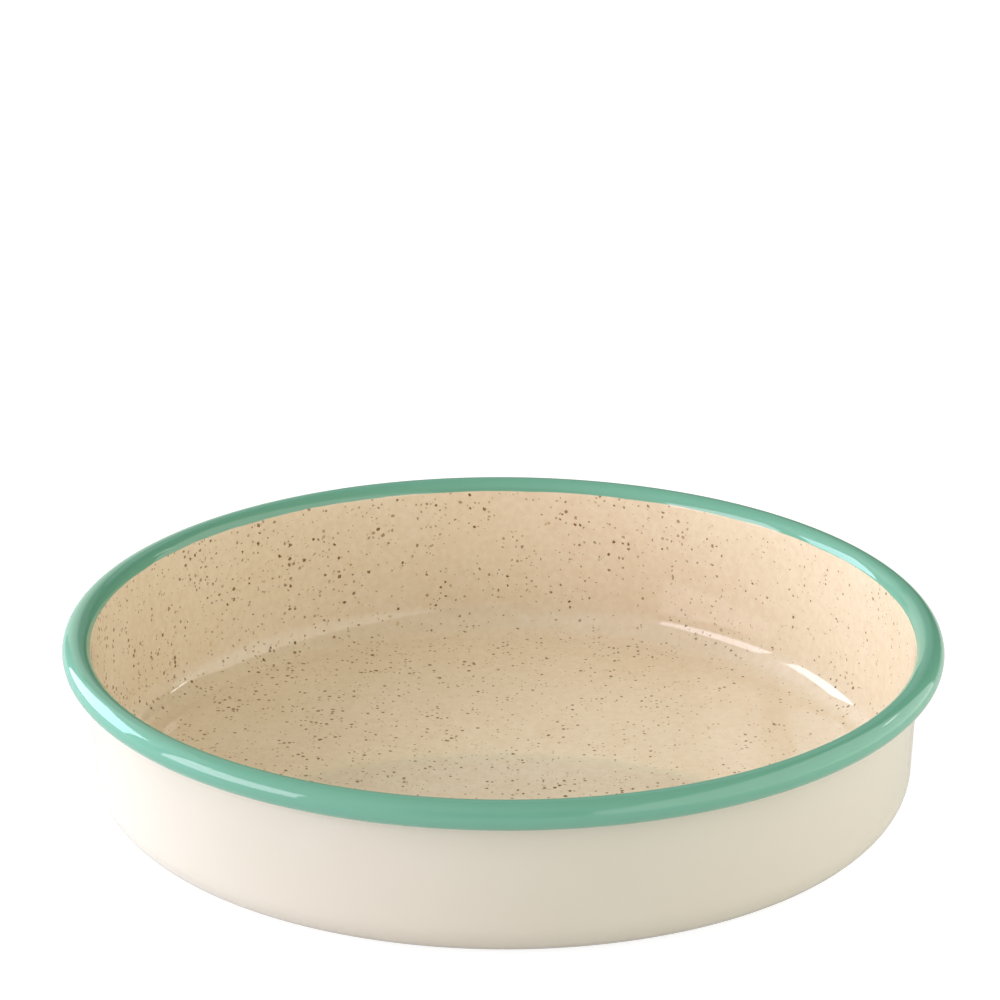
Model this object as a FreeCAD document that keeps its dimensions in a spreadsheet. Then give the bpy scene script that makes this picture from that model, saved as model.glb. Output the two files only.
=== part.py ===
import FreeCAD, Part
import math
import os

import Sketcher
from FreeCAD import Placement, Vector

# Round baking dish, pressed from one steel sheet and enamelled all over.
# The sheet runs from the flat base through a round corner and up a slightly leaning wall. At the
# top it is rolled outwards, down and under into a hollow rim, and its edge stops just short of the
# wall. The whole dish is one turned section, so it is one closed solid.
# Frame: +Z up, the origin at the middle of the base's underside. Lengths are in millimetres.

NODE = "baking_dish"
PARTS_FOLDER = "parts"

# Name of the cell, its value, and what it measures
SIZES = (
    ("rim_diameter", 260.0, "across the outside of the rolled rim"),
    ("dish_height", 50.6, "from the underside of the base to the top of the rim"),
    ("sheet_thickness", 1.3, "steel with its enamel on both faces"),
    ("corner_radius", 9.7, "inside the corner between the floor and the wall"),
    ("wall_draft", 2.4, "degrees that the wall leans outwards"),
    ("roll_diameter", 8.4, "across the outside of the rolled section"),
    ("roll_gap", 0.4, "between the rolled edge and the outside of the wall"),
)

# Points of a sketch element, as Sketcher numbers them
START, END, CENTRE = 1, 2, 3
# The sketch's own origin, as Sketcher numbers it
ORIGIN = (-1, 1)


def make_sheet(document):
    """A spreadsheet with one row for each driving size: its name, its value and its meaning."""
    sheet = document.addObject("Spreadsheet::Sheet", "sizes")
    for row, (alias, value, meaning) in enumerate(SIZES, start=1):
        sheet.set(f"A{row}", alias)
        sheet.set(f"B{row}", str(value))
        sheet.setAlias(f"B{row}", alias)
        sheet.set(f"C{row}", meaning)
    document.recompute()
    return sheet


def origin_feature(body, role):
    """One of the body's own origin planes or axes."""
    for feature in body.Origin.OriginFeatures:
        if feature.Role == role:
            return feature
    raise ValueError(f"the body has no {role}")


def polar(centre, radius, angle):
    """The point of a circle in the section plane, with the angle measured from the X axis."""
    return centre + Vector(math.cos(angle), math.sin(angle), 0) * radius


def arc(centre, radius, first, last):
    """An arc in the section plane, counter-clockwise from the first angle to the last."""
    circle = Part.Circle(centre, Vector(0, 0, 1), radius)
    return Part.ArcOfCircle(circle, first, last)


def section_points(sheet):
    """Where the section's corners and centres lie, so that the sketch starts out solved."""
    thickness = float(sheet.sheet_thickness)
    corner = float(sheet.corner_radius)
    draft = math.radians(float(sheet.wall_draft))
    roll = float(sheet.roll_diameter) / 2
    outside_wall = roll - thickness

    roll_centre = Vector(
        float(sheet.rim_diameter) / 2 - roll, float(sheet.dish_height) - roll, 0
    )
    # Outwards and square to the wall
    across = Vector(math.cos(draft), -math.sin(draft), 0)
    along = Vector(math.sin(draft), math.cos(draft), 0)
    # The corner's centre is one corner radius inside the food side of the wall
    inner_tangent = roll_centre - across * (roll + corner)
    corner_height = thickness + corner
    drop = (corner_height - inner_tangent.y) / along.y
    corner_centre = inner_tangent + along * drop
    # The rolled edge is a half round, and its middle stands off the outside of the wall
    edge_radius = thickness / 2
    edge_reach = float(sheet.roll_gap) + edge_radius
    middle_of_sheet = roll - edge_radius
    turn = math.acos((outside_wall - edge_reach) / middle_of_sheet)
    edge_angle = math.pi - draft + turn
    return {
        "thickness": thickness,
        "corner_centre": corner_centre,
        "corner_inside": corner,
        "corner_outside": corner + thickness,
        "roll_centre": roll_centre,
        "roll_outside": roll,
        "roll_inside": outside_wall,
        "wall_angle": math.pi - draft,
        "corner_angle": -draft,
        "edge_angle": edge_angle,
        "edge_radius": edge_radius,
        "edge_centre": polar(roll_centre, middle_of_sheet, edge_angle),
    }


def draw_section(sketch, at):
    """Draws the sheet's section as one closed outline, and returns each element's number."""
    corner, roll = at["corner_centre"], at["roll_centre"]
    outer_corner_end = polar(corner, at["corner_outside"], at["corner_angle"])
    inner_corner_end = polar(corner, at["corner_inside"], at["corner_angle"])
    outer_wall_top = polar(roll, at["roll_inside"], at["wall_angle"])
    inner_wall_top = polar(roll, at["roll_outside"], at["wall_angle"])
    edge, wall = at["edge_angle"], at["wall_angle"]
    full = 2 * math.pi
    floor = Vector(0, at["thickness"], 0)
    elements = (
        ("base", Part.LineSegment(Vector(0, 0, 0), Vector(corner.x, 0, 0))),
        (
            "outer_corner",
            arc(corner, at["corner_outside"], -math.pi / 2, at["corner_angle"]),
        ),
        ("outer_wall", Part.LineSegment(outer_corner_end, outer_wall_top)),
        ("roll_inside", arc(roll, at["roll_inside"], edge, full + wall)),
        (
            "rolled_edge",
            arc(at["edge_centre"], at["edge_radius"], edge - math.pi, edge),
        ),
        ("roll_outside", arc(roll, at["roll_outside"], edge, full + wall)),
        ("inner_wall", Part.LineSegment(inner_corner_end, inner_wall_top)),
        (
            "inner_corner",
            arc(corner, at["corner_inside"], -math.pi / 2, at["corner_angle"]),
        ),
        ("floor", Part.LineSegment(floor, Vector(corner.x, at["thickness"], 0))),
        ("axis", Part.LineSegment(Vector(0, 0, 0), floor)),
    )
    return {name: sketch.addGeometry(shape, False) for name, shape in elements}


def tie_section(sketch, line):
    """Joins the section's elements and makes each meet the next one smoothly."""
    smooth = (
        ("base", END, "outer_corner", START),
        ("outer_corner", END, "outer_wall", START),
        ("outer_wall", END, "roll_inside", END),
        ("roll_inside", START, "rolled_edge", START),
        ("rolled_edge", END, "roll_outside", START),
        ("roll_outside", END, "inner_wall", END),
        ("inner_wall", START, "inner_corner", END),
        ("inner_corner", START, "floor", END),
    )
    for first, first_end, second, second_end in smooth:
        sketch.addConstraint(
            Sketcher.Constraint(
                "Tangent", line[first], first_end, line[second], second_end
            )
        )
    shared = (
        (line["base"], START, *ORIGIN),
        (line["axis"], START, line["base"], START),
        (line["axis"], END, line["floor"], START),
        (line["inner_corner"], CENTRE, line["outer_corner"], CENTRE),
        (line["roll_inside"], CENTRE, line["roll_outside"], CENTRE),
    )
    for pair in shared:
        sketch.addConstraint(Sketcher.Constraint("Coincident", *pair))
    sketch.addConstraint(Sketcher.Constraint("Horizontal", line["base"]))
    sketch.addConstraint(Sketcher.Constraint("Horizontal", line["floor"]))
    sketch.addConstraint(Sketcher.Constraint("Vertical", line["axis"]))


def size_section(sketch, line, at):
    """Gives the section its sizes, each bound to the spreadsheet."""
    wall_slope = math.pi / 2 + at["corner_angle"]
    roll = (line["roll_outside"], CENTRE)
    edge_reach = at["roll_inside"] - (at["roll_outside"] - at["edge_radius"]) * math.cos(
        at["edge_angle"] - at["wall_angle"]
    )
    driven = (
        (
            "sheet_thickness",
            ("DistanceY", *ORIGIN, line["floor"], START, at["thickness"]),
            "sizes.sheet_thickness",
        ),
        (
            "corner_radius",
            ("Radius", line["inner_corner"], at["corner_inside"]),
            "sizes.corner_radius",
        ),
        (
            "wall_slope",
            ("Angle", line["inner_wall"], wall_slope),
            "90 - sizes.wall_draft",
        ),
        (
            "roll_outside_radius",
            ("Radius", line["roll_outside"], at["roll_outside"]),
            "sizes.roll_diameter / 2",
        ),
        (
            "roll_inside_radius",
            ("Radius", line["roll_inside"], at["roll_inside"]),
            "sizes.roll_diameter / 2 - sizes.sheet_thickness",
        ),
        (
            "roll_centre_reach",
            ("DistanceX", *ORIGIN, *roll, at["roll_centre"].x),
            "(sizes.rim_diameter - sizes.roll_diameter) / 2",
        ),
        (
            "roll_centre_height",
            ("DistanceY", *ORIGIN, *roll, at["roll_centre"].y),
            "sizes.dish_height - sizes.roll_diameter / 2",
        ),
        (
            "edge_reach",
            ("Distance", line["rolled_edge"], CENTRE, line["outer_wall"], edge_reach),
            "sizes.roll_gap + sizes.sheet_thickness / 2",
        ),
    )
    for name, constraint, expression in driven:
        number = sketch.addConstraint(Sketcher.Constraint(*constraint))
        sketch.renameConstraint(number, name)
        sketch.setExpression(f"Constraints.{name}", expression)


def make_dish(document, sheet):
    """The dish: the sheet's section, turned once about the Z axis."""
    body = document.addObject("PartDesign::Body", "dish_body")
    body.Label = NODE
    sketch = body.newObject("Sketcher::SketchObject", "sheet_section")
    sketch.AttachmentSupport = [(origin_feature(body, "XZ_Plane"), "")]
    sketch.MapMode = "FlatFace"
    at = section_points(sheet)
    line = draw_section(sketch, at)
    tie_section(sketch, line)
    size_section(sketch, line, at)
    document.recompute()

    turned = body.newObject("PartDesign::Revolution", "turned_sheet")
    turned.Profile = sketch
    turned.ReferenceAxis = (sketch, ["V_Axis"])
    turned.Angle = 360.0
    body.Tip = turned
    body.Placement = Placement()
    return body


def check_document(document, bodies):
    """Stops the build if anything failed, before a file is written."""
    document.recompute()
    for item in document.Objects:
        bad = {"Invalid", "Error"} & set(item.State)
        if bad:
            raise RuntimeError(f"{item.Label} is {', '.join(sorted(bad))}")
    for body in bodies:
        shape = body.Shape
        if shape.isNull() or not shape.isValid() or len(shape.Solids) != 1:
            raise RuntimeError(f"{body.Label} isn't one valid solid")


def main():
    document = FreeCAD.newDocument("baking_dish")
    sheet = make_sheet(document)
    bodies = [make_dish(document, sheet)]
    check_document(document, bodies)
    os.makedirs(PARTS_FOLDER, exist_ok=True)
    for body in bodies:
        shape = body.Shape
        shape.exportStep(os.path.join(PARTS_FOLDER, body.Label + ".step"))
        box = shape.optimalBoundingBox(False, False)
        print(
            f"{body.Label}: {box.XLength:.2f} x {box.YLength:.2f} x {box.ZLength:.2f} mm, "
            f"{shape.Volume / 1000:.2f} cm3"
        )


main()
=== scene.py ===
# %% [markdown]
# A baking dish of enamelled steel
#
# The dish is pressed from one round sheet of steel. Its floor is flat, its wall leans outwards a
# little, and the rim is rolled outwards into a hollow tube. It is then fired with three glossy
# enamels: cream outside, a beige with dark specks inside, and green on the rolled rim.
#
# The frame holds the dish as it was constructed. This script gives it its looks.

# %% The frame
import math

import bpy
import numpy as np
from mathutils import Matrix, Vector


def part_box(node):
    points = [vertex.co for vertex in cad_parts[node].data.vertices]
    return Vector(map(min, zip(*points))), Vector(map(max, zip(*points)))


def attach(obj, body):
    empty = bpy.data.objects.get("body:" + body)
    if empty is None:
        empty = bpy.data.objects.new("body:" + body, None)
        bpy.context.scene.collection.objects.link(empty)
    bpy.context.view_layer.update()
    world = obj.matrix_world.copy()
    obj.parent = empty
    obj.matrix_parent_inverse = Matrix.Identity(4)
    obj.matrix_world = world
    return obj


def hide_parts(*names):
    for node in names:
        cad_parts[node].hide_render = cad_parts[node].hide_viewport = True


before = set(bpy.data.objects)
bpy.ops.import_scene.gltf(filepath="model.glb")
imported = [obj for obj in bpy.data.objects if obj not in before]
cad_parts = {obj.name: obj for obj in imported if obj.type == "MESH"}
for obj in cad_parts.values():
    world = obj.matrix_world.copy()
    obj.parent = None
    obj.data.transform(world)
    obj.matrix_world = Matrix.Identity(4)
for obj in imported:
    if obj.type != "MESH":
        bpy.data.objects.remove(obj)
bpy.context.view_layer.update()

low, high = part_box("baking_dish")
rim_diameter = min(high.x - low.x, high.y - low.y)
dish_height = high.z - low.z
print(f"the dish is {rim_diameter * 1000:.1f} mm across and {dish_height * 1000:.1f} mm high")


# %% [markdown]
# Working values
#
# Blender works in metres and radians. The dish is easier to think of in millimetres and degrees,
# so each size is written that way and turned once. Nodes do the rest of the work here, so one small
# function adds a node, sets it up and links it.

# %% Units and a node helper
MM = 0.001

# The kinds of node that come up most often. A Mix node's places are 0 for its factor, 6 and 7 for
# its two colours, and output 2
MATH = "ShaderNodeMath"
VECTOR_MATH = "ShaderNodeVectorMath"
COMBINE = "ShaderNodeCombineXYZ"
NOISE = "ShaderNodeTexNoise"
MAP_RANGE = "ShaderNodeMapRange"
MIX = "ShaderNodeMix"


def add_node(tree, kind, inputs=(), **settings):
    """Adds a node. Its inputs come in order as a tuple, or as a dictionary by name or place.

    An input is a plain value, a socket to link, or a list of sockets.
    """
    node = tree.nodes.new(kind)
    for name, value in settings.items():
        setattr(node, name, value)
    if isinstance(inputs, tuple):
        inputs = dict(enumerate(inputs))
    for name, value in inputs.items():
        sources = value if isinstance(value, list) else [value]
        for source in sources:
            if isinstance(source, bpy.types.NodeSocket):
                tree.links.new(source, node.inputs[name])
            else:
                node.inputs[name].default_value = source
    return node


# %% [markdown]
# The sheet and its section
#
# Cut the dish in half and you see a thin strip of sheet: along the floor, round the corner, up the
# wall, and round the roll. It could be drawn as one outline, point by point. Here it is made as the
# real one is: one line down the middle of the sheet, which gets its thickness afterwards. The line
# is two arcs, and the straight floor and wall are what lies between them.

# %% Sizes of the sheet
sheet_sizes = {
    "Rim Diameter": rim_diameter,
    "Height": dish_height,
    "Sheet": 1.3 * MM,
    "Corner Radius": 9.7 * MM,
    "Wall Draft": math.radians(2.4),
    "Roll Diameter": 8.4 * MM,
    "Roll Turn": math.radians(301.4),
}
print({name: round(value, 5) for name, value in sheet_sizes.items()})

# How finely the section is divided
CORNER_POINTS = 18
ROLL_POINTS = 44
STRAIGHT_STEP = 4 * MM
MOST_CUTS = 60.0


# %% Tree: sheet section
def make_section_tree():
    """A tree that draws the middle line of the sheet: X is the radius and Y is the height."""
    tree = bpy.data.node_groups.new("sheet middle line", "GeometryNodeTree")
    for name in sheet_sizes:
        tree.interface.new_socket(name, in_out="INPUT", socket_type="NodeSocketFloat")
    tree.interface.new_socket("Curve", in_out="OUTPUT", socket_type="NodeSocketGeometry")
    tree.interface.new_socket("Edge Place", in_out="OUTPUT", socket_type="NodeSocketVector")
    tree.interface.new_socket("Edge Angle", in_out="OUTPUT", socket_type="NodeSocketFloat")
    given = tree.nodes.new("NodeGroupInput").outputs
    sheet, draft, turn = given["Sheet"], given["Wall Draft"], given["Roll Turn"]

    half = add_node(tree, MATH, (sheet, 2.0), operation="DIVIDE").outputs[0]
    rim_radius = add_node(tree, MATH, (given["Rim Diameter"], 2.0), operation="DIVIDE").outputs[0]
    roll_radius = add_node(tree, MATH, (given["Roll Diameter"], 2.0), operation="DIVIDE").outputs[0]
    roll_middle = add_node(tree, MATH, (roll_radius, half), operation="SUBTRACT").outputs[0]
    corner_middle = add_node(tree, MATH, (given["Corner Radius"], half), operation="ADD").outputs[0]

    # The wall leans by its draft: one direction runs along it and one square across it
    sine = add_node(tree, MATH, (draft,), operation="SINE").outputs[0]
    cosine = add_node(tree, MATH, (draft,), operation="COSINE").outputs[0]
    minus_sine = add_node(tree, MATH, (sine, -1.0), operation="MULTIPLY").outputs[0]
    along = add_node(tree, COMBINE, (sine, cosine)).outputs[0]
    across = add_node(tree, COMBINE, (cosine, minus_sine)).outputs[0]

    roll_x = add_node(tree, MATH, (rim_radius, roll_radius), operation="SUBTRACT").outputs[0]
    roll_y = add_node(tree, MATH, (given["Height"], roll_radius), operation="SUBTRACT").outputs[0]
    roll_centre = add_node(tree, COMBINE, (roll_x, roll_y)).outputs[0]

    # From the roll's centre, square through the wall, then down it to the corner's height
    apart = add_node(tree, MATH, (roll_middle, corner_middle), operation="ADD").outputs[0]
    back = add_node(tree, VECTOR_MATH, {0: across, "Scale": apart}, operation="SCALE").outputs[0]
    level = add_node(tree, VECTOR_MATH, (roll_centre, back), operation="SUBTRACT").outputs[0]
    level_y = add_node(tree, "ShaderNodeSeparateXYZ", (level,)).outputs["Y"]
    corner_y = add_node(tree, MATH, (sheet, given["Corner Radius"]), operation="ADD").outputs[0]
    fall = add_node(tree, MATH, (corner_y, level_y), operation="SUBTRACT").outputs[0]
    drop = add_node(tree, MATH, (fall, cosine), operation="DIVIDE").outputs[0]
    down = add_node(tree, VECTOR_MATH, {0: along, "Scale": drop}, operation="SCALE").outputs[0]
    corner_centre = add_node(tree, VECTOR_MATH, (level, down), operation="ADD").outputs[0]

    middle = add_node(tree, COMBINE, (0.0, half)).outputs[0]
    runs = [add_node(tree, "GeometryNodePoints", {"Count": 1, "Position": middle}).outputs[0]]
    corner_sweep = add_node(tree, MATH, (math.pi / 2, draft), operation="SUBTRACT").outputs[0]
    roll_start = add_node(tree, MATH, (math.pi, draft), operation="SUBTRACT").outputs[0]
    roll_sweep = add_node(tree, MATH, (turn, -1.0), operation="MULTIPLY").outputs[0]
    for count, radius, start, sweep, centre in (
        (CORNER_POINTS, corner_middle, -math.pi / 2, corner_sweep, corner_centre),
        (ROLL_POINTS, roll_middle, roll_start, roll_sweep, roll_centre),
    ):
        arc = add_node(
            tree,
            "GeometryNodeCurveArc",
            {"Resolution": count, "Radius": radius, "Start Angle": start, "Sweep Angle": sweep},
            mode="RADIUS",
        ).outputs["Curve"]
        moved = add_node(
            tree, "GeometryNodeTransform", {"Geometry": arc, "Translation": centre}
        ).outputs[0]
        points = add_node(tree, "GeometryNodeCurveToPoints", {"Curve": moved}, mode="EVALUATED")
        runs.append(points.outputs["Points"])
    # The join puts what is linked last first, so the list is turned round
    joined = add_node(tree, "GeometryNodeJoinGeometry", {"Geometry": runs[::-1]}).outputs[0]
    line = add_node(tree, "GeometryNodePointsToCurves", {"Points": joined}).outputs[0]

    # The straight runs get points of their own, so that shading doesn't smear across them
    index = add_node(tree, "GeometryNodeInputIndex").outputs[0]
    position = add_node(tree, "GeometryNodeInputPosition").outputs[0]
    next_index = add_node(tree, MATH, (index, 1.0), operation="ADD").outputs[0]
    after = add_node(
        tree,
        "GeometryNodeFieldAtIndex",
        {"Index": next_index, "Value": position},
        data_type="FLOAT_VECTOR",
    ).outputs[0]
    run = add_node(tree, VECTOR_MATH, (position, after), operation="DISTANCE").outputs["Value"]
    steps = add_node(tree, MATH, (run, STRAIGHT_STEP), operation="DIVIDE").outputs[0]
    whole_steps = add_node(tree, MATH, (steps,), operation="FLOOR").outputs[0]
    cuts = add_node(tree, MATH, (whole_steps, MOST_CUTS), operation="MINIMUM").outputs[0]
    fine = add_node(tree, "GeometryNodeSubdivideCurve", {"Curve": line, "Cuts": cuts}).outputs[0]

    edge_angle = add_node(tree, MATH, (roll_start, turn), operation="SUBTRACT").outputs[0]
    edge_x = add_node(tree, MATH, (edge_angle,), operation="COSINE").outputs[0]
    edge_y = add_node(tree, MATH, (edge_angle,), operation="SINE").outputs[0]
    edge_way = add_node(tree, COMBINE, (edge_x, edge_y)).outputs[0]
    reach = add_node(
        tree, VECTOR_MATH, {0: edge_way, "Scale": roll_middle}, operation="SCALE"
    ).outputs[0]
    edge_place = add_node(tree, VECTOR_MATH, (roll_centre, reach), operation="ADD").outputs[0]
    made = {"Curve": fine, "Edge Place": edge_place, "Edge Angle": edge_angle}
    add_node(tree, "NodeGroupOutput", made)
    return tree


section_tree = make_section_tree()
print(f"{section_tree.name}: {len(section_tree.nodes)} nodes")


# %% [markdown]
# Thickness and the turn
#
# The middle line is pushed out to both faces of the sheet, and a small half round closes it at the
# rolled edge, where the enamel has rounded the cut steel. That outline is then carried round a
# circle, as a potter's template is. A Screw modifier could turn it too, but inside the tree every
# point keeps two facts that the finishes need: how far along the sheet it lies, and on which face.

# %% Tree: turned dish
STEPS_AROUND = 360
EDGE_POINTS = 9
SEAM = 0.002 * MM

NOTE = "GeometryNodeStoreNamedAttribute"
NOTED = "GeometryNodeInputNamedAttribute"
AT_POINTS = {"data_type": "FLOAT", "domain": "POINT"}
AT_FACES = {"data_type": "FLOAT", "domain": "FACE"}


def make_dish_tree():
    """A tree that gives the sheet its thickness and turns it round the Z axis."""
    tree = bpy.data.node_groups.new("turned dish", "GeometryNodeTree")
    for name in sheet_sizes:
        tree.interface.new_socket(name, in_out="INPUT", socket_type="NodeSocketFloat")
    tree.interface.new_socket("Steps Around", in_out="INPUT", socket_type="NodeSocketInt")
    for name in ("Outside", "Inside"):
        tree.interface.new_socket(name, in_out="INPUT", socket_type="NodeSocketMaterial")
    tree.interface.new_socket("Mesh", in_out="OUTPUT", socket_type="NodeSocketGeometry")
    given = tree.nodes.new("NodeGroupInput").outputs

    sizes = {name: given[name] for name in sheet_sizes}
    section = add_node(tree, "GeometryNodeGroup", sizes, node_tree=section_tree).outputs
    half = add_node(tree, MATH, (given["Sheet"], 2.0), operation="DIVIDE").outputs[0]
    rim_radius = add_node(tree, MATH, (given["Rim Diameter"], 2.0), operation="DIVIDE").outputs[0]

    length = add_node(tree, "GeometryNodeSplineParameter").outputs["Length"]
    measured = {"Geometry": section["Curve"], "Name": "along", "Value": length}
    line = add_node(tree, NOTE, measured, **AT_POINTS).outputs[0]
    whole = add_node(
        tree,
        "GeometryNodeAttributeStatistic",
        {"Geometry": line, "Attribute": length},
        domain="POINT",
    ).outputs["Max"]

    # Across the sheet, to the left of the way that the line runs: the face that holds the food
    tangent = add_node(tree, "GeometryNodeInputTangent").outputs[0]
    across = add_node(
        tree, VECTOR_MATH, ((0.0, 0.0, 1.0), tangent), operation="CROSS_PRODUCT"
    ).outputs[0]
    faces = []
    for sign in (-1.0, 1.0):
        way = add_node(tree, MATH, (half, sign), operation="MULTIPLY").outputs[0]
        scaled = {0: across, "Scale": way}
        offset = add_node(tree, VECTOR_MATH, scaled, operation="SCALE").outputs[0]
        pushed = {"Geometry": line, "Offset": offset}
        faces.append(add_node(tree, "GeometryNodeSetPosition", pushed).outputs[0])
    under = faces[0]
    over = add_node(tree, "GeometryNodeReverseCurve", {"Curve": faces[1]}).outputs[0]

    # The rounded edge: a half circle from one face of the sheet to the other
    start = add_node(tree, MATH, (section["Edge Angle"], math.pi), operation="ADD").outputs[0]
    arc = add_node(
        tree,
        "GeometryNodeCurveArc",
        {"Resolution": EDGE_POINTS, "Radius": half, "Start Angle": start, "Sweep Angle": math.pi},
        mode="RADIUS",
    ).outputs["Curve"]
    moved = add_node(
        tree, "GeometryNodeTransform", {"Geometry": arc, "Translation": section["Edge Place"]}
    ).outputs[0]
    passed = add_node(tree, MATH, (length, half), operation="DIVIDE").outputs[0]
    left = add_node(tree, MATH, (math.pi, passed), operation="SUBTRACT").outputs[0]
    further = add_node(tree, MATH, (left, half), operation="MULTIPLY").outputs[0]
    reach = add_node(tree, MATH, (whole, further), operation="ADD").outputs[0]
    measured = {"Geometry": moved, "Name": "along", "Value": reach}
    edge = add_node(tree, NOTE, measured, **AT_POINTS).outputs[0]

    parts = []
    for curve, side in ((over, 1.0), (edge, 1.0), (under, 0.0)):
        found = add_node(tree, "GeometryNodeCurveToPoints", {"Curve": curve}, mode="EVALUATED")
        sided = {"Geometry": found.outputs["Points"], "Name": "food side", "Value": side}
        parts.append(add_node(tree, NOTE, sided, **AT_POINTS).outputs[0])
    joined = add_node(tree, "GeometryNodeJoinGeometry", {"Geometry": parts}).outputs[0]
    outline = add_node(tree, "GeometryNodePointsToCurves", {"Points": joined}).outputs[0]

    # A point of the outline lies its own radius less the rim's away from the circle
    position = add_node(tree, "GeometryNodeInputPosition").outputs[0]
    place = add_node(tree, "ShaderNodeSeparateXYZ", (position,)).outputs
    inward = add_node(tree, MATH, (place["X"], rim_radius), operation="SUBTRACT").outputs[0]
    downward = add_node(tree, MATH, (place["Y"], -1.0), operation="MULTIPLY").outputs[0]
    template = add_node(tree, COMBINE, (inward, downward)).outputs[0]
    ready = add_node(
        tree, "GeometryNodeSetPosition", {"Geometry": outline, "Position": template}
    ).outputs[0]
    circle = add_node(
        tree,
        "GeometryNodeCurvePrimitiveCircle",
        {"Resolution": given["Steps Around"], "Radius": rim_radius},
        mode="RADIUS",
    ).outputs["Curve"]
    turned = add_node(
        tree, "GeometryNodeCurveToMesh", {"Curve": circle, "Profile Curve": ready}
    ).outputs[0]
    outward = add_node(tree, "GeometryNodeFlipFaces", {"Mesh": turned}).outputs[0]

    # Each face takes its side from its points, before the seam is closed
    side = add_node(tree, NOTED, {"Name": "food side"}, data_type="FLOAT").outputs["Attribute"]
    sided = add_node(
        tree,
        NOTE,
        {"Geometry": outward, "Name": "food side face", "Value": side},
        **AT_FACES,
    ).outputs[0]
    closed = add_node(
        tree, "GeometryNodeMergeByDistance", {"Geometry": sided, "Distance": SEAM}
    ).outputs[0]
    smooth = add_node(tree, "GeometryNodeSetShadeSmooth", {"Geometry": closed}).outputs[0]

    face_side = add_node(tree, NOTED, {"Name": "food side face"}, data_type="FLOAT")
    inside = add_node(
        tree, MATH, (face_side.outputs["Attribute"], 0.5), operation="GREATER_THAN"
    ).outputs[0]
    dressed = add_node(
        tree, "GeometryNodeSetMaterial", {"Geometry": smooth, "Material": given["Outside"]}
    ).outputs[0]
    dressed = add_node(
        tree,
        "GeometryNodeSetMaterial",
        {"Geometry": dressed, "Selection": inside, "Material": given["Inside"]},
    ).outputs[0]
    real = add_node(tree, "GeometryNodeRealizeInstances", {"Geometry": dressed}).outputs[0]
    add_node(tree, "NodeGroupOutput", {"Mesh": real})
    return tree


def grown(name, tree, values):
    """A plain mesh object with what the tree makes from these values."""
    holder = bpy.data.objects.new(name, bpy.data.meshes.new(name))
    bpy.context.collection.objects.link(holder)
    modifier = holder.modifiers.new("made", "NODES")
    modifier.node_group = tree
    sockets = {
        item.name: item.identifier
        for item in tree.interface.items_tree
        if item.in_out == "INPUT"
    }
    for socket, value in values.items():
        modifier[sockets[socket]] = value
    evaluated = holder.evaluated_get(bpy.context.evaluated_depsgraph_get())
    mesh = bpy.data.meshes.new_from_object(evaluated)
    holder.modifiers.remove(modifier)
    holder.data = mesh
    mesh.name = name
    return holder


dish_tree = make_dish_tree()
print(f"{dish_tree.name}: {len(dish_tree.nodes)} nodes")


# %% [markdown]
# Colours
#
# A colour is read off a picture as six hex digits in sRGB, but a shader works with linear light.
# One function turns the first into the second, so every colour in this file can be looked up as it
# is written.

# %% Colours
def colour(text):
    """A linear colour from an sRGB hex value such as #6BA98F."""
    parts = [int(text[place : place + 2], 16) / 255 for place in (1, 3, 5)]
    linear = [
        part / 12.92 if part <= 0.04045 else ((part + 0.055) / 1.055) ** 2.4 for part in parts
    ]
    return (*linear, 1.0)


print("mid grey in linear light:", round(colour("#808080")[0], 3))


# %% [markdown]
# The specks
#
# Grains of a brown glass are mixed into the beige slip before it is fired. Large ones stay dark
# dots with a soft edge, small ones gather in drifts, and the finest melt into faint smears. A
# picture of specks would blur near the camera. Here each layer is a Voronoi pattern: every cell
# holds one grain in its middle, dice rolls give it a size and a tone, and a slow noise says where
# grains gather.

# %% The specks
# A layer says how wide its cells are, how large its largest grain is, how soft a grain's edge is,
# how well it covers the beige, its two tones, and which way and how far its grains are drawn out.
# Its gather is the size of a drift, the two noise values a drift runs between, and a grain's
# share of its size at each.
SMEAR = {
    "cell": 1.9 * MM,
    "radius": 0.46 * MM,
    "soft": 0.30 * MM,
    "strength": 0.78,
    "tones": ("#BF9A20", "#B88C22"),
    "gather": (9 * MM, 0.42, 0.60, 0.2, 1.1),
}
SPECK_LAYERS = (
    {
        "cell": 1.55 * MM,
        "radius": 0.74 * MM,
        "soft": 0.13 * MM,
        "strength": 1.0,
        "tones": ("#6E5008", "#845410"),
        "turned": (0.0, 0.0, 0.0),
        "drawn_out": 1.0,
        "gather": (13 * MM, 0.34, 0.60, 0.5, 1.0),
    },
    {
        "cell": 1.25 * MM,
        "radius": 0.43 * MM,
        "soft": 0.16 * MM,
        "strength": 0.93,
        "tones": ("#9B7410", "#A06C14"),
        "turned": (0.4, 0.2, 0.7),
        "drawn_out": 1.3,
        "gather": (6 * MM, 0.48, 0.60, 0.0, 1.0),
    },
    {**SMEAR, "turned": (0.2, -0.6, 0.8), "drawn_out": 2.4},
    {**SMEAR, "turned": (0.5, 0.5, -0.5), "drawn_out": 2.2},
)

# Grains are drawn larger on the left and smaller on the right: a painted veil of reflection,
# standing for the pale reflections that lie over the specks on the right side
PAINTED_VEIL_EDGE = 110 * MM
PAINTED_VEIL_LEFT, PAINTED_VEIL_RIGHT = 1.12, 0.85

# A grain's outline bends by this many of its radii, over this share of its cell
BEND = 1.3
BEND_LENGTH = 0.45
# The smallest and the palest grain, as shares of the largest and the deepest
SMALLEST = 0.3
PALEST = 0.4
# A dice roll to this power keeps most grains small
FEW_LARGE = 3.0


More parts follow.
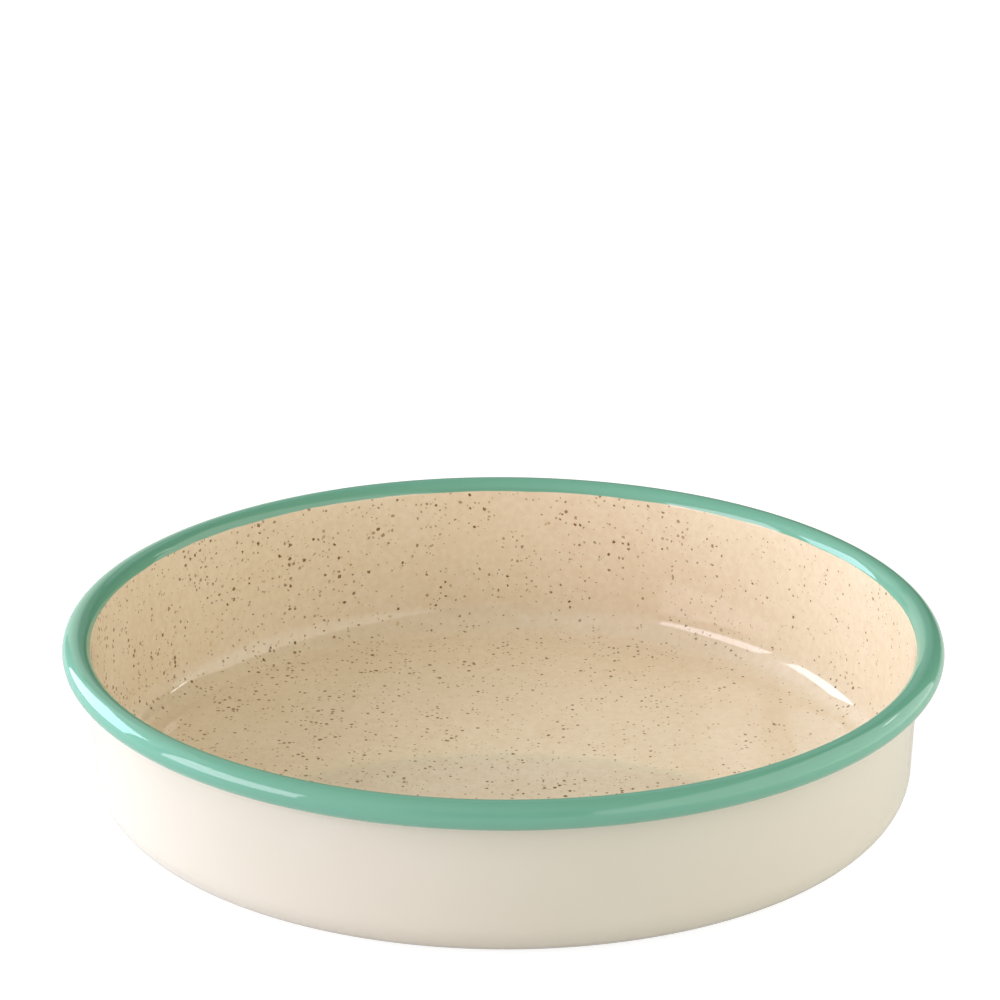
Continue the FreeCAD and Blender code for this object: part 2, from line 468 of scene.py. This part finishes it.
def strew(tree, place, tint, layer):
    """Lays one layer of specks over a tint."""
    cell, radius = layer["cell"], layer["radius"]

    # A grain is a ball round a cell's middle, in coordinates that are bent a little
    wavy = add_node(
        tree, NOISE, {"Vector": place, "Scale": 1 / (BEND_LENGTH * cell), "Detail": 1.0}
    ).outputs["Color"]
    wander = add_node(tree, VECTOR_MATH, (wavy, (-0.5, -0.5, -0.5)), operation="ADD").outputs[0]
    bent = add_node(
        tree, VECTOR_MATH, (wander, (BEND * radius,) * 3, place), operation="MULTIPLY_ADD"
    ).outputs[0]
    stretch = (layer["drawn_out"], 1.0, 1.0)
    drawn = add_node(
        tree,
        "ShaderNodeMapping",
        {"Vector": bent, "Rotation": layer["turned"], "Scale": stretch},
        vector_type="TEXTURE",
    ).outputs[0]
    cells = add_node(tree, "ShaderNodeTexVoronoi", {"Vector": drawn, "Scale": 1 / cell}).outputs
    dice = add_node(tree, "ShaderNodeSeparateColor", (cells["Color"],)).outputs

    # A grain's size is its roll of the dice. Its neighbourhood makes it larger or smaller, and a
    # painted reflection veil makes it smaller towards the right
    rolled = add_node(tree, MATH, (dice[0], FEW_LARGE), operation="POWER").outputs[0]
    size = add_node(
        tree, MATH, (rolled, 1 - SMALLEST, SMALLEST), operation="MULTIPLY_ADD"
    ).outputs[0]

    # Painted reflection: grains shrink from the left side to the right, where pale reflections veil
    # them
    across = add_node(tree, "ShaderNodeSeparateXYZ", (place,)).outputs["X"]
    painted_veil = add_node(
        tree, MAP_RANGE, (across, -PAINTED_VEIL_EDGE, PAINTED_VEIL_EDGE, PAINTED_VEIL_LEFT, PAINTED_VEIL_RIGHT)
    ).outputs[0]
    drift, *span = layer["gather"]
    slow = add_node(
        tree, NOISE, {"Vector": place, "Scale": 1 / drift, "Detail": 1.0}
    ).outputs["Fac"]
    gathered = add_node(tree, MAP_RANGE, (slow, *span)).outputs[0]
    gather_and_veil = add_node(tree, MATH, (gathered, painted_veil), operation="MULTIPLY").outputs[0]
    share = add_node(tree, MATH, (size, gather_and_veil), operation="MULTIPLY").outputs[0]

    # Within its radius the grain covers the beige, a little less towards its edge
    reach = add_node(tree, MATH, (share, radius / cell), operation="MULTIPLY").outputs[0]
    inside = add_node(tree, MATH, (reach, cells["Distance"]), operation="SUBTRACT").outputs[0]
    grain = add_node(
        tree, MAP_RANGE, (inside, 0.0, layer["soft"] / cell, 0.0, layer["strength"])
    ).outputs[0]
    depth = add_node(
        tree, MATH, (dice[2], 1 - PALEST, PALEST), operation="MULTIPLY_ADD"
    ).outputs[0]
    cover = add_node(tree, MATH, (grain, depth), operation="MULTIPLY").outputs[0]

    first, second = (colour(tone) for tone in layer["tones"])
    tone = add_node(tree, MIX, {0: dice[1], 6: first, 7: second}, data_type="RGBA").outputs[2]
    return add_node(tree, MIX, {0: cover, 6: tint, 7: tone}, data_type="RGBA").outputs[2]


for layer in SPECK_LAYERS:
    print(f"grains up to {2000 * layer['radius']:.1f} mm, one for {1000 * layer['cell']:.2f} mm")


# %% [markdown]
# The enamels
#
# Vitreous enamel is coloured glass, sprayed on as a slip and melted onto the steel at over 800
# degrees. It is opaque and very glossy, with an IOR near that of glass, and the melt leaves a faint
# orange peel of a few millimetres. Cream covers the outside and beige the inside. Green is laid
# over both on the roll, so its edge follows a constant place along the sheet, with a slight waver.
# A painted image could carry all this, but nodes keep it sharp at any distance.

# %% The enamels
CREAM = ("#E4DED1", "#E2DBCC")
BEIGE = ("#F3E4CC", "#ECD9BE")
GREEN = ("#76B59E", "#71B099")

# Where the green begins, measured along the sheet from the middle of the floor
GREEN_FROM_INSIDE = 163.0 * MM
GREEN_FROM_OUTSIDE = 158.7 * MM
GREEN_WAVER = 0.6 * MM
GREEN_THINS, GREEN_FULL = 0.20 * MM, 0.40 * MM

# The sizes over which each noise changes
CLOUDS = 35 * MM
MOTTLES = 2.2 * MM
GREEN_CLOUDS = 20 * MM
WAVER_LENGTH = 11 * MM
PEEL = 4 * MM
PEEL_DEPTH = 0.01 * MM

GLAZE_ROUGHNESS = 0.05
GLAZE_IOR = 1.56


def make_enamel(name, ground, green_from, specks=(), mottling=0.0):
    """A glossy enamel that turns green past a place along the sheet. It may hold dark specks."""
    material = bpy.data.materials.new(name)
    material.use_nodes = True
    tree = material.node_tree
    tree.nodes.clear()
    place = add_node(tree, "ShaderNodeTexCoord").outputs["Object"]
    noises = {}
    for size, detail in (
        (CLOUDS, 2.0), (MOTTLES, 2.0), (GREEN_CLOUDS, 2.0), (WAVER_LENGTH, 2.0), (PEEL, 1.0)
    ):
        wanted = {"Vector": place, "Scale": 1 / size, "Detail": detail}
        noises[size] = add_node(tree, NOISE, wanted).outputs["Fac"]

    # The melt pools and thins, over centimetres and, in the speckled glass, over millimetres too
    pooled = add_node(
        tree, MATH, (noises[MOTTLES], mottling, -mottling / 2), operation="MULTIPLY_ADD"
    ).outputs[0]
    thinned = add_node(tree, MATH, (noises[CLOUDS], pooled), operation="ADD").outputs[0]
    pale, deep = (colour(tone) for tone in ground)
    tint = add_node(tree, MIX, {0: thinned, 6: pale, 7: deep}, data_type="RGBA").outputs[2]
    for layer in specks:
        tint = strew(tree, place, tint, layer)

    # The green's edge wavers slowly, by a quarter of a millimetre
    along = add_node(tree, "ShaderNodeAttribute", attribute_name="along").outputs["Fac"]
    waver = add_node(
        tree, MATH, (noises[WAVER_LENGTH], GREEN_WAVER, along), operation="MULTIPLY_ADD"
    ).outputs[0]
    edge = add_node(
        tree, MAP_RANGE, (waver, green_from + GREEN_THINS, green_from + GREEN_FULL, 0.0, 1.0)
    ).outputs[0]
    first, second = (colour(tone) for tone in GREEN)
    green = add_node(
        tree, MIX, {0: noises[GREEN_CLOUDS], 6: first, 7: second}, data_type="RGBA"
    ).outputs[2]
    tint = add_node(tree, MIX, {0: edge, 6: tint, 7: green}, data_type="RGBA").outputs[2]

    peel = add_node(
        tree,
        "ShaderNodeBump",
        {"Height": noises[PEEL], "Distance": PEEL_DEPTH, "Strength": 1.0},
    ).outputs[0]
    shader = add_node(
        tree,
        "ShaderNodeBsdfPrincipled",
        {"Base Color": tint, "Roughness": GLAZE_ROUGHNESS, "IOR": GLAZE_IOR, "Normal": peel},
    ).outputs[0]
    add_node(tree, "ShaderNodeOutputMaterial", {"Surface": shader})
    return material


cream = make_enamel("vitreous_enamel_cream", CREAM, GREEN_FROM_OUTSIDE)
beige = make_enamel(
    "vitreous_enamel_beige_speckled", BEIGE, GREEN_FROM_INSIDE, specks=SPECK_LAYERS, mottling=2.2
)
for material in (cream, beige):
    print(f"{material.name}: {len(material.node_tree.nodes)} nodes")


# %% [markdown]
# The dish
#
# The tree now makes the dish from the sizes, and the result becomes a plain mesh. It stands for the
# CAD solid, which stays in the model for its weight and its contacts. Each face of the sheet also
# gets a round place in a UV map, with the middle of the floor at its centre and distances along the
# sheet kept. An exported picture of the finish then spends its pixels on the side with the specks.

# %% The dish
# Each side's disc on the map: its centre across, its centre up, and its radius
OUTSIDE_DISC = (0.835, 0.835, 0.155)
INSIDE_DISC = (0.415, 0.415, 0.410)


def lay_out_faces(piece):
    """A UV map with one disc for each face of the sheet."""
    mesh = piece.data
    corner_points = np.empty(len(mesh.loops), dtype=np.int32)
    mesh.loops.foreach_get("vertex_index", corner_points)
    places = np.empty(len(mesh.vertices) * 3, dtype=np.float32)
    mesh.vertices.foreach_get("co", places)
    places = places.reshape(-1, 3)
    along = np.empty(len(mesh.vertices), dtype=np.float32)
    mesh.attributes["along"].data.foreach_get("value", along)
    side = np.empty(len(mesh.polygons), dtype=np.float32)
    mesh.attributes["food side face"].data.foreach_get("value", side)
    counts = np.empty(len(mesh.polygons), dtype=np.int32)
    mesh.polygons.foreach_get("loop_total", counts)

    corner_side = np.repeat((side > 0.5).astype(np.int32), counts)
    discs = np.array([OUTSIDE_DISC, INSIDE_DISC])[corner_side]
    angle = np.arctan2(places[:, 1], places[:, 0])[corner_points]
    reach = along[corner_points] / along.max() * discs[:, 2]
    uv = np.stack(
        [discs[:, 0] + reach * np.cos(angle), discs[:, 1] + reach * np.sin(angle)], axis=1
    )
    layer = mesh.uv_layers.new(name="OFBake")
    layer.data.foreach_set("uv", uv.astype(np.float32).ravel())


dish = grown(
    "enamelled_dish",
    dish_tree,
    {**sheet_sizes, "Steps Around": STEPS_AROUND, "Outside": cream, "Inside": beige},
)
lay_out_faces(dish)
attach(dish, "root")
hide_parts("baking_dish")
print(f"{dish.name}: {len(dish.data.vertices)} points, {len(dish.data.polygons)} faces")


# %% [markdown]
# The stage
#
# A white floor, large enough to fill every view. It is part paint and part glow to the camera, so
# that it stays white where the lamps are weak, and it still takes the soft shadow of the dish. The
# glaze mirrors some of that glow too, but not all: with all of it, the edges of the body vanish.

# %% The stage
HALF_FLOOR = 12.0
GLOW = 0.88
MIRRORED_GLOW = 0.25

floor_mesh = bpy.data.meshes.new("studio_floor")
corners = [(x * HALF_FLOOR, y * HALF_FLOOR, 0.0) for x, y in ((-1, -1), (1, -1), (1, 1), (-1, 1))]
floor_mesh.from_pydata(corners, [], [(0, 1, 2, 3)])
floor = bpy.data.objects.new("studio_floor", floor_mesh)
bpy.context.collection.objects.link(floor)

white_paper = bpy.data.materials.new("white_paper")
white_paper.use_nodes = True
paper = white_paper.node_tree
paper.nodes.clear()
paths = add_node(paper, "ShaderNodeLightPath").outputs
seen = add_node(
    paper, MATH, (paths["Is Glossy Ray"], MIRRORED_GLOW), operation="MULTIPLY"
).outputs[0]
for ray in ("Is Camera Ray", "Is Transmission Ray"):
    seen = add_node(paper, MATH, (seen, paths[ray]), operation="MAXIMUM").outputs[0]
plain = add_node(paper, "ShaderNodeBsdfDiffuse", {"Color": colour("#E8E8E8")}).outputs[0]
part = add_node(paper, "ShaderNodeBsdfDiffuse", {"Color": colour("#909090")}).outputs[0]
glow = add_node(
    paper, "ShaderNodeEmission", {"Color": colour("#FFFFFF"), "Strength": GLOW}
).outputs[0]
both = add_node(paper, "ShaderNodeAddShader", (part, glow)).outputs[0]
either = add_node(paper, "ShaderNodeMixShader", (seen, plain, both)).outputs[0]
add_node(paper, "ShaderNodeOutputMaterial", {"Surface": either})
floor.data.materials.append(white_paper)
print(f"floor: {2 * HALF_FLOOR:.0f} m square")


# %% [markdown]
# The camera
#
# A long lens from well back, looking down at about twenty degrees, with a hair of turn and roll.
# Its place was fitted to the outlines of the rim and the body in the photo.

# %% The camera
CAMERA_PLACE = Vector((0.0, -1175.5, 527.7)) * MM
CAMERA_TILT = math.radians(69.568)
CAMERA_ROLL = 0.0009
CAMERA_TURN = 0.0039

camera_data = bpy.data.cameras.new("camera")
camera_data.sensor_width = 36.0
camera_data.lens = 154.47
camera = bpy.data.objects.new("camera", camera_data)
bpy.context.collection.objects.link(camera)
look = Matrix.Rotation(CAMERA_TILT, 4, "X")
look = look @ Matrix.Rotation(CAMERA_ROLL, 4, "Y") @ Matrix.Rotation(CAMERA_TURN, 4, "Z")
camera.matrix_world = Matrix.Translation(CAMERA_PLACE) @ look
bpy.context.scene.camera = camera
print(f"camera {CAMERA_PLACE.length * 1000:.0f} mm from the middle of the base")


# %% [markdown]
# The lamps
#
# What shows on such glossy glass is mostly the room around it. Two tall soft boxes on the left give
# the long white highlights on the rim and the two arcs in the far corner of the inside. A pale card
# on the right lights the other half, and a slim lamp behind it gives the short bright dash in the
# near left corner. The backdrop and the wall behind on the left are dim panels. A painted picture
# of a room could light the dish too, but panels can be moved one by one and leave nothing to load.

# %% The lamps
def add_panel(name, first, second, bottom, top, radiance, tint="#FFFFFF"):
    """An upright area lamp between two points of the floor plan, facing the dish."""
    first, second = Vector((*first, 0.0)), Vector((*second, 0.0))
    width, height = (second - first).length, top - bottom
    data = bpy.data.lights.new(name, "AREA")
    data.shape = "RECTANGLE"
    data.size, data.size_y = width, height
    # An area lamp of this energy looks as bright as its radiance says, whatever its size
    data.energy = radiance * math.pi * width * height
    data.color = colour(tint)[:3]
    lamp = bpy.data.objects.new(name, data)
    bpy.context.collection.objects.link(lamp)
    middle = (first + second) / 2
    lamp.location = (middle.x, middle.y, (bottom + top) / 2)
    across = (second - first).normalized()
    out = Vector((across.y, -across.x, 0.0))
    if out.dot(middle) < 0:
        out.negate()
    lamp.rotation_euler = out.to_track_quat("Z", "Y").to_euler()
    print(f"{name}: {width:.2f} m wide, {height:.2f} m high, {data.energy:.2f} W")


add_panel("near_softbox", (-0.541, 0.512), (-0.887, 0.163), 0.05, 0.50, 6.1, "#D2EBFF")
add_panel("left_window", (-1.24, -1.07), (-1.24, -0.04), 0.0, 0.78, 4.7, "#FAEFFF")
add_panel("right_card", (0.42, -1.10), (0.42, 0.29), 0.0, 0.556, 1.43, "#FFFDFC")
add_panel("backdrop", (-0.9, 1.6), (-0.15, 1.6), 0.0, 0.9, 0.7, "#FFF0E7")
add_panel("backdrop_shade", (-0.15, 1.6), (0.5, 1.6), 0.35, 0.9, 0.25, "#FFF0E7")
add_panel("backdrop_top", (-1.4, 1.6), (0.5, 1.6), 0.95, 1.7, 0.5, "#FFF8F8")
add_panel("left_wall", (-1.7, 0.2), (-1.0, 1.7), 0.6, 2.0, 0.5, "#F9F9FF")
add_panel("slim_lamp", (1.203, 0.636), (1.102, 0.811), 0.72, 0.79, 6.0)


# %% [markdown]
# The room
#
# Past the lamps lies the rest of the studio, and the glaze mirrors that too. It is pale on the open
# left side and a warm dusk elsewhere. The corner behind on the right is dark, which draws the deep
# green bands on the rim, and so in part is the side where the camera stands. It could be a box with
# painted walls. As the world's colour by direction it takes no room and casts no shadow.

# %% The room
DUSK, PALE = "#787346", "#EBEAE2"

world = bpy.data.worlds.new("studio_room")
world.use_nodes = True
room = world.node_tree
room.nodes.clear()
heading = add_node(room, "ShaderNodeTexCoord").outputs["Generated"]


def towards(azimuth, elevation, start, end):
    """How far each direction of the room turns towards one of them, between two cosines."""
    flat = math.cos(math.radians(elevation))
    way = (
        flat * math.cos(math.radians(azimuth)),
        flat * math.sin(math.radians(azimuth)),
        math.sin(math.radians(elevation)),
    )
    near = add_node(room, VECTOR_MATH, (heading, way), operation="DOT_PRODUCT").outputs["Value"]
    return add_node(room, MAP_RANGE, (near, start, end)).outputs[0]


open_side = towards(213, 0, -0.3, 0.5)
dark_corner = towards(69, 28, 0.81, 0.94)
camera_side = towards(-86, 18, 0.84, 0.95)

walls = add_node(
    room, MIX, {0: open_side, 6: colour(DUSK), 7: colour(PALE)}, data_type="RGBA"
).outputs[2]
lit = 1.0
for dark, depth in ((dark_corner, 1.0), (camera_side, 0.75)):
    kept = add_node(room, MATH, (dark, -depth, 1.0), operation="MULTIPLY_ADD").outputs[0]
    lit = add_node(room, MATH, (lit, kept), operation="MULTIPLY").outputs[0]
sky = add_node(room, "ShaderNodeBackground", {"Color": walls, "Strength": lit}).outputs[0]
add_node(room, "ShaderNodeOutputWorld", {"Surface": sky})
bpy.context.scene.world = world
print(f"{world.name}: {len(room.nodes)} nodes")


# %% [markdown]
# The view
#
# The render shows its colours through the Standard view transform.


bpy.context.scene.view_settings.view_transform = "Standard"
